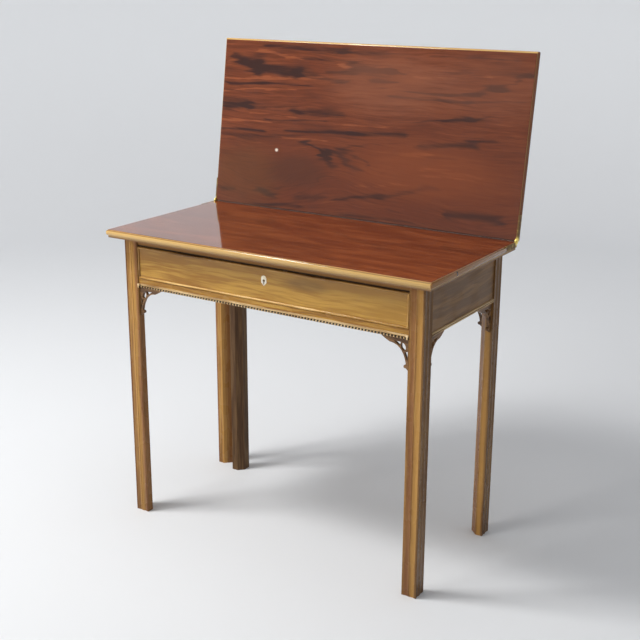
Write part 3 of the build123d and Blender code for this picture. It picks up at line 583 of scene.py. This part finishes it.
def off_hinge(point):
    """How far a point lies from the hinge line, in millimetres."""
    return math.hypot(point.y / MM - hinge_line.y, point.z / MM - hinge_line.z)


def welded(node):
    """A working copy of a CAD node with its corners joined and its flat faces whole."""
    work = bmesh.new()
    work.from_mesh(frame["nodes"][node].data)
    bmesh.ops.remove_doubles(work, verts=work.verts, dist=weld * MM)
    bmesh.ops.dissolve_limit(work, angle_limit=math.radians(0.5), verts=work.verts, edges=work.edges)
    return work


def shade_faces(work):
    """Curved faces shade as curves, and flat ones stay flat."""
    for face in work.faces:
        face.smooth = any(flat < turned_away(edge) < arris for edge in face.edges)


def soften(work):
    """Faces shade as they curve, and arrises stay sharp."""
    for edge in work.edges:
        edge.smooth = turned_away(edge) < arris
    shade_faces(work)


def as_mesh(name, work):
    """A mesh made of a bmesh, which is freed."""
    mesh = bpy.data.meshes.new(name)
    work.to_mesh(mesh)
    work.free()
    return mesh


def rub(node, width):
    """A copy of a CAD node with its sharp arrises rubbed round, in place of the node.

    The boards keep a sharp edge where they meet at the hinges. The flap all but touches the top there."""
    work = welded(node)
    if node == "flap":
        joint = min(corner.co.dot(up_flap) for corner in work.verts)
        for corner in work.verts:
            if corner.co.dot(up_flap) < joint + 0.01 * MM:
                corner.co -= up_flap * flap_reach * MM
    rubbed = work.edges.layers.float.new("bevel_weight_edge")
    keep = sharp_by_hinge if node in ("table_top", "flap") else 0
    for edge in work.edges:
        clear = min(off_hinge(corner.co) for corner in edge.verts) > keep
        edge[rubbed] = float(turned_away(edge) > arris and clear)
    shade_faces(work)
    made = piece(node + "_rubbed", as_mesh(node + "_rubbed", work), finish_of(node))
    bevel = made.modifiers.new("rubbed", "BEVEL")
    bevel.width = width * MM
    bevel.segments = 2
    bevel.limit_method = "WEIGHT"
    stand_in(made, node)


rubbed_by = {
    "hinge_leaf": 0.25,
    "table_top": 0.4,
    "flap": 0.4,
    "inner_back_leg": 0.3,
    "leg": 0.5,
    "rail": 0.5,
    "bracket": 0.5,
    "escutcheon": 0.2,
}
for name in sorted(frame["nodes"]):
    for word, width in rubbed_by.items():
        if word in name and name != "gate_fixed_rail" and "screws" not in name:
            rub(name, width)
            break


def as_object(name, work):
    """A bmesh made into an object that nothing shows yet."""
    bmesh.ops.recalc_face_normals(work, faces=work.faces)
    return bpy.data.objects.new(name, as_mesh(name, work))


def set_on_points():
    """Geometry nodes that set one item on each point of a mesh, aimed by the point's own turn."""
    tree = bpy.data.node_groups.new("set_on_points", "GeometryNodeTree")
    given = {"Points": "Geometry", "Item": "Object", "Smallest": "Float", "Seed": "Int", "Finish": "Material"}
    for name, kind in given.items():
        tree.interface.new_socket(name, in_out="INPUT", socket_type="NodeSocket" + kind)
    tree.interface.new_socket("Row", in_out="OUTPUT", socket_type="NodeSocketGeometry")

    def node(kind, values, settings=()):
        made = tree.nodes.new(kind)
        for name, value in settings:
            setattr(made, name, value)
        for name, value in values.items():
            if isinstance(value, bpy.types.NodeSocket):
                tree.links.new(value, made.inputs[name])
            else:
                made.inputs[name].default_value = value
        return made.outputs

    inputs = node("NodeGroupInput", {})
    item = node("GeometryNodeObjectInfo", {"Object": inputs["Item"]})
    turn = node("GeometryNodeInputNamedAttribute", {"Name": "turn"}, [("data_type", "FLOAT_VECTOR")])
    aim = node("FunctionNodeEulerToRotation", {"Euler": turn["Attribute"]})
    size = node("FunctionNodeRandomValue", {2: inputs["Smallest"], 3: 1.0, 8: inputs["Seed"]},
                [("data_type", "FLOAT")])
    row = node("GeometryNodeInstanceOnPoints", {
        "Points": inputs["Points"], "Instance": item["Geometry"], "Rotation": aim["Rotation"],
        "Scale": size[1]})
    whole = node("GeometryNodeRealizeInstances", {"Geometry": row["Instances"]})
    done = node("GeometryNodeSetMaterial", {"Geometry": whole["Geometry"], "Material": inputs["Finish"]})
    node("NodeGroupOutput", {"Row": done["Geometry"]})
    return tree


row_tree = set_on_points()


def row_of(name, item, places, turns, smallest, seed, finish):
    """A plain mesh of the item set at each place with its turn."""
    points = bpy.data.meshes.new(name + "_points")
    points.from_pydata([place * MM for place in places], [], [])
    turn = points.attributes.new("turn", "FLOAT_VECTOR", "POINT")
    turn.data.foreach_set("vector", [angle for euler in turns for angle in euler])
    carrier = bpy.data.objects.new(name + "_carrier", points)
    for part in (carrier, item):
        scene.collection.objects.link(part)
    modifier = carrier.modifiers.new("row", "NODES")
    modifier.node_group = row_tree
    values = {"Item": item, "Smallest": smallest, "Seed": seed, "Finish": finish}
    for socket in row_tree.interface.items_tree:
        if socket.name in values:
            modifier[socket.identifier] = values[socket.name]
    bpy.context.view_layer.update()
    shown = carrier.evaluated_get(bpy.context.evaluated_depsgraph_get())
    mesh = bpy.data.meshes.new_from_object(shown)
    for part in (carrier, item):
        bpy.data.objects.remove(part)
    return mesh


# The gadroon: a row of carved lobes under a band with two fine lines, and a plain block at each end


def bar(work, profile, ends, place):
    """Adds a closed bar between two ends. Place turns (end, out, down) into a point, in millimetres."""
    rings = [[work.verts.new(place(end, out, down) * MM) for out, down in profile] for end in ends]
    for number, corner in enumerate(rings[0]):
        after = (number + 1) % len(profile)
        work.faces.new((corner, rings[0][after], rings[1][after], rings[1][number]))
    for ring in rings:
        work.faces.new(ring)


def carved_gadroon():
    """The band, the ground behind the lobes, the end blocks and the lobes, as one mesh."""
    low, high = gadroon_low, gadroon_high
    back = high.y
    lobe_height = 6.2
    lobe_depth = 5.2
    lobe_width = 5.0
    lobe_taper = 0.22
    lobe_lift = 0.1
    band_profile = ((0, 0), (1.2, 0), (1.6, 0.6), (1.2, 1.1), (2.0, 1.5), (2.4, 2.2), (2.1, 2.7), (2.8, 3.0),
                    (3.0, 3.5), (2.0, 3.9), (0, 4.1))
    ground_profile = ((0, 4.0), (0.9, 4.0), (0.9, 9.2), (0, 9.6))
    block_profile = ((0, 0), (4.6, 0), (5.6, 0.9), (5.8, 8.6), (5.0, 9.8), (0, 9.8))
    band = bmesh.new()

    def across(x, out, down):
        return Vector((x, back - out, high.z - down))

    inner = (low.x + block_width, high.x - block_width)
    bar(band, band_profile, inner, across)
    bar(band, ground_profile, inner, across)
    bar(band, block_profile, (low.x, inner[0]), across)
    bar(band, block_profile, (inner[1], high.x), across)
    bmesh.ops.recalc_face_normals(band, faces=band.faces)
    soften(band)

    lobe = bmesh.new()
    bmesh.ops.create_uvsphere(lobe, u_segments=10, v_segments=7, radius=MM)
    for corner in lobe.verts:
        x, y, z = corner.co
        taper = 1 - lobe_taper * z / MM
        corner.co = (x * taper * lobe_width / 2, min(y, 0) * lobe_depth, z * lobe_height / 2)
    for face in lobe.faces:
        face.smooth = True
    middle = low.z + lobe_lift + lobe_height / 2
    places = [Vector((first_lobe + number * lobe_pitch, back, middle)) for number in range(lobe_count)]
    turns = [(0, 0, 0)] * lobe_count
    finish = finish_of("gadroon_moulding")
    item = as_object("lobe", lobe)
    band.from_mesh(row_of("gadroon_lobes", item, places, turns, smallest=0.95, seed=3, finish=finish))
    stand_in(piece("gadroon_carved", as_mesh("gadroon_carved", band), finish), "gadroon_moulding")


carved_gadroon()


def reeded(node, outward):
    """Two rounded reeds with a groove between them, along a side of the table."""
    low, high = span_of(node)
    depth, height = high.x - low.x, (high.z - low.z) / 2
    back = low.x if outward > 0 else high.x
    base, groove, steps = 0.9, 0.15, 10
    profile = [(0, 0)]
    for reed in range(2):
        for step in range(steps + 1):
            angle = math.pi * step / steps
            down = height * (reed + 0.5) - (height / 2 - groove) * math.cos(angle)
            profile.append((base + (depth - base) * math.sin(angle), down))
    profile.append((0, 2 * height))
    work = bmesh.new()
    bar(work, profile, (low.y, high.y), lambda y, out, down: Vector((back + outward * out, y, high.z - down)))
    bmesh.ops.recalc_face_normals(work, faces=work.faces)
    soften(work)
    stand_in(piece(node + "_reeded", as_mesh(node + "_reeded", work), finish_of(node)), node)


reeded("left_side_moulding", outward=-1)
reeded("right_side_moulding", outward=1)

# Slotted screws in place of the plain ones


def slotted_screw(head, sink, shank, length):
    """One screw with its head at the top and a slot across it."""
    sides = 14
    slot_width, slot_depth, crown = 0.3 * head, 0.25 * head, 0.06 * head
    profile = ((head, crown), (head * 0.94, 0), (shank, -sink), (shank, crown - length * 0.8),
               (shank * 0.2, -length))
    angles = [2 * math.pi * side / sides for side in range(sides)]
    work = bmesh.new()
    rings = []
    for radius, height in profile:
        out, up = radius * MM, height * MM
        rings.append([work.verts.new((out * math.cos(angle), out * math.sin(angle), up)) for angle in angles])
    for upper, lower in zip(rings, rings[1:]):
        for side in range(sides):
            after = (side + 1) % sides
            work.faces.new((upper[side], lower[side], lower[after], upper[after]))
    work.faces.new(rings[-1])
    work.faces.new(rings[0])

    def top_faces():
        return [face for face in work.faces if all(corner.co.z > crown * MM * 0.99 for corner in face.verts)]

    for side in (-1, 1):
        flat = top_faces()
        cut = dict.fromkeys(flat)
        for face in flat:
            cut |= dict.fromkeys([*face.edges, *face.verts])
        bmesh.ops.bisect_plane(work, geom=list(cut), dist=1e-7,
                               plane_co=(side * slot_width * MM / 2, 0, 0), plane_no=(1, 0, 0))
    middle = [face for face in top_faces() if abs(face.calc_center_median().x) < slot_width * MM / 4]
    sunk = bmesh.ops.extrude_discrete_faces(work, faces=middle)["faces"]
    for corner in {corner for face in sunk for corner in face.verts}:
        corner.co.z -= slot_depth * MM
    return as_object("screw", work)


def screw_heads(node, outward):
    """The middle of each screw head of a node, and the way that it looks."""
    rim_depth = 0.1
    work = welded(node)
    left = dict.fromkeys(work.verts)
    heads = []
    while left:
        island = [left.popitem()[0]]
        for corner in island:
            for edge in corner.link_edges:
                other = edge.other_vert(corner)
                if other in left:
                    del left[other]
                    island.append(other)
        way = outward(sum((corner.co for corner in island), Vector()) / len(island))
        top = max(corner.co.dot(way) for corner in island)
        rim = [corner.co for corner in island if corner.co.dot(way) > top - rim_depth * MM]
        heads.append((sum(rim, Vector()) / len(rim) / MM, way))
    work.free()
    return sorted(heads, key=lambda head: tuple(round(value, 2) for value in head[0]))


def drive_screws(node, outward, head, sink, shank, length):
    """Slotted screws in place of a node's plain ones, each turned a little differently."""
    spin_step = 2.4
    heads = screw_heads(node, outward)
    places = [place for place, way in heads]
    turns = []
    for number, (place, way) in enumerate(heads):
        spin = Matrix.Rotation(spin_step * number, 3, "Z")
        turns.append((way.to_track_quat("Z", "Y").to_matrix() @ spin).to_euler())
    item = slotted_screw(head, sink, shank, length)
    finish = finish_of(node)
    mesh = row_of(node, item, places, turns, smallest=0.98, seed=5, finish=finish)
    stand_in(piece(node + "_slotted", mesh, finish), node)


for node in ("hinge_screws_top", "hinge_screws_flap"):
    drive_screws(node, lambda middle: X if middle.x > 0 else -X, head=3.1, sink=1.8, shank=1.6, length=17)
drive_screws("lock_screws", lambda middle: Y, head=2.6, sink=1.2, shank=1.4, length=8)
drive_screws("top_screws", lambda middle: -Z, head=4.2, sink=2.6, shank=2.2, length=24)

# The room, the light and the camera


def sweep(name, radius, curve, height):
    """A pale floor that rises all round into a wall, and glows more the further back it lies."""
    steps, turns = 12, 96
    backward = Vector((-0.6, 0.8, 0))
    profile = [(0.0, 0.0)]
    for step in range(steps + 1):
        angle = math.pi / 2 * step / steps
        profile.append((radius + curve * math.sin(angle), curve - curve * math.cos(angle)))
    profile.append((radius + curve, height))
    angles = [2 * math.pi * turn / turns for turn in range(turns)]
    points = [(out * math.cos(angle), out * math.sin(angle), up) for out, up in profile for angle in angles]
    faces = []
    for ring in range(len(profile) - 1):
        for turn in range(turns):
            near, far = ring * turns, (ring + 1) * turns
            after = (turn + 1) % turns
            faces.append((near + turn, near + after, far + after, far + turn))
    mesh = bpy.data.meshes.new(name)
    mesh.from_pydata(points, [], faces)
    mesh.polygons.foreach_set("use_smooth", [True] * len(mesh.polygons))
    f = Finish(name)
    rise = f.ramp(f.along(Z), 0, 900)
    paint = f.blend(rise, tone(222, 224, 227), tone(208, 210, 213))
    behind = f.ramp(f.along(backward), -800, 1700)
    glow = f.blend(rise, tone(84, 84, 85), tone(122, 123, 124))
    glow = f.blend(behind, tone(20, 20, 20), glow)
    finish = f.set(Base_Color=paint, Roughness=0.8, Emission_Color=glow, Emission_Strength=1.0)
    made = piece(name, mesh, finish)


def lamp(name, place, target, size, power, colour=(1.0, 1.0, 1.0), mirrored=True):
    """A soft lamp, not seen itself, and mirrored in polish or not."""
    data = bpy.data.lights.new(name, "AREA")
    data.shape = "RECTANGLE"
    data.size, data.size_y = size
    data.energy = power
    data.color = colour
    made = bpy.data.objects.new(name, data)
    made.location = place
    made.rotation_mode = "QUATERNION"
    made.rotation_quaternion = (Vector(target) - Vector(place)).to_track_quat("-Z", "Y")
    made.visible_camera = False
    made.visible_glossy = mirrored
    scene.collection.objects.link(made)


sweep("floor_and_wall", radius=3.2, curve=1.0, height=3.6)
lamp("window", (-1.6, -1.25, 3.3), (0, 0, 0.6), size=(0.8, 0.8), power=84, colour=(1.0, 0.99, 0.97))
lamp("room", (-1.9, -3.2, 2.0), (0, 0, 0.5), size=(1.6, 1.6), power=62, colour=(1.0, 0.98, 0.95),
     mirrored=False)
lamp("ceiling", (0.3, -0.2, 3.5), (0, 0, 0), size=(2.4, 2.4), power=18)
world = bpy.data.worlds.new("room")
world.use_nodes = True
background = world.node_tree.nodes["Background"].inputs
background["Color"].default_value = (1.0, 1.0, 1.0, 1.0)
background["Strength"].default_value = 0.18
scene.world = world
scene.view_settings.view_transform = "Standard"

# The camera stands and looks as the vanishing lines of the photograph say
yaw, pitch, roll = (math.radians(angle) for angle in (32.54, 17.30, 0.24))
ahead = Vector((-math.sin(yaw) * math.cos(pitch), math.cos(yaw) * math.cos(pitch), -math.sin(pitch)))
level_right = Vector((math.cos(yaw), math.sin(yaw), 0))
level_up = level_right.cross(ahead)
right = level_right * math.cos(roll) + level_up * math.sin(roll)
above = level_up * math.cos(roll) - level_right * math.sin(roll)
stand = Vector((1.4044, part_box("table_top")[0].y - 1.9348, 1.3244))
camera = bpy.data.objects.new("camera", bpy.data.cameras.new("camera"))
camera.data.sensor_width = 36.0
camera.data.lens = 63.95
camera.matrix_world = Matrix.Translation(stand) @ Matrix((right, above, -ahead)).transposed().to_4x4()
scene.collection.objects.link(camera)
scene.camera = camera

bpy.context.view_layer.update()
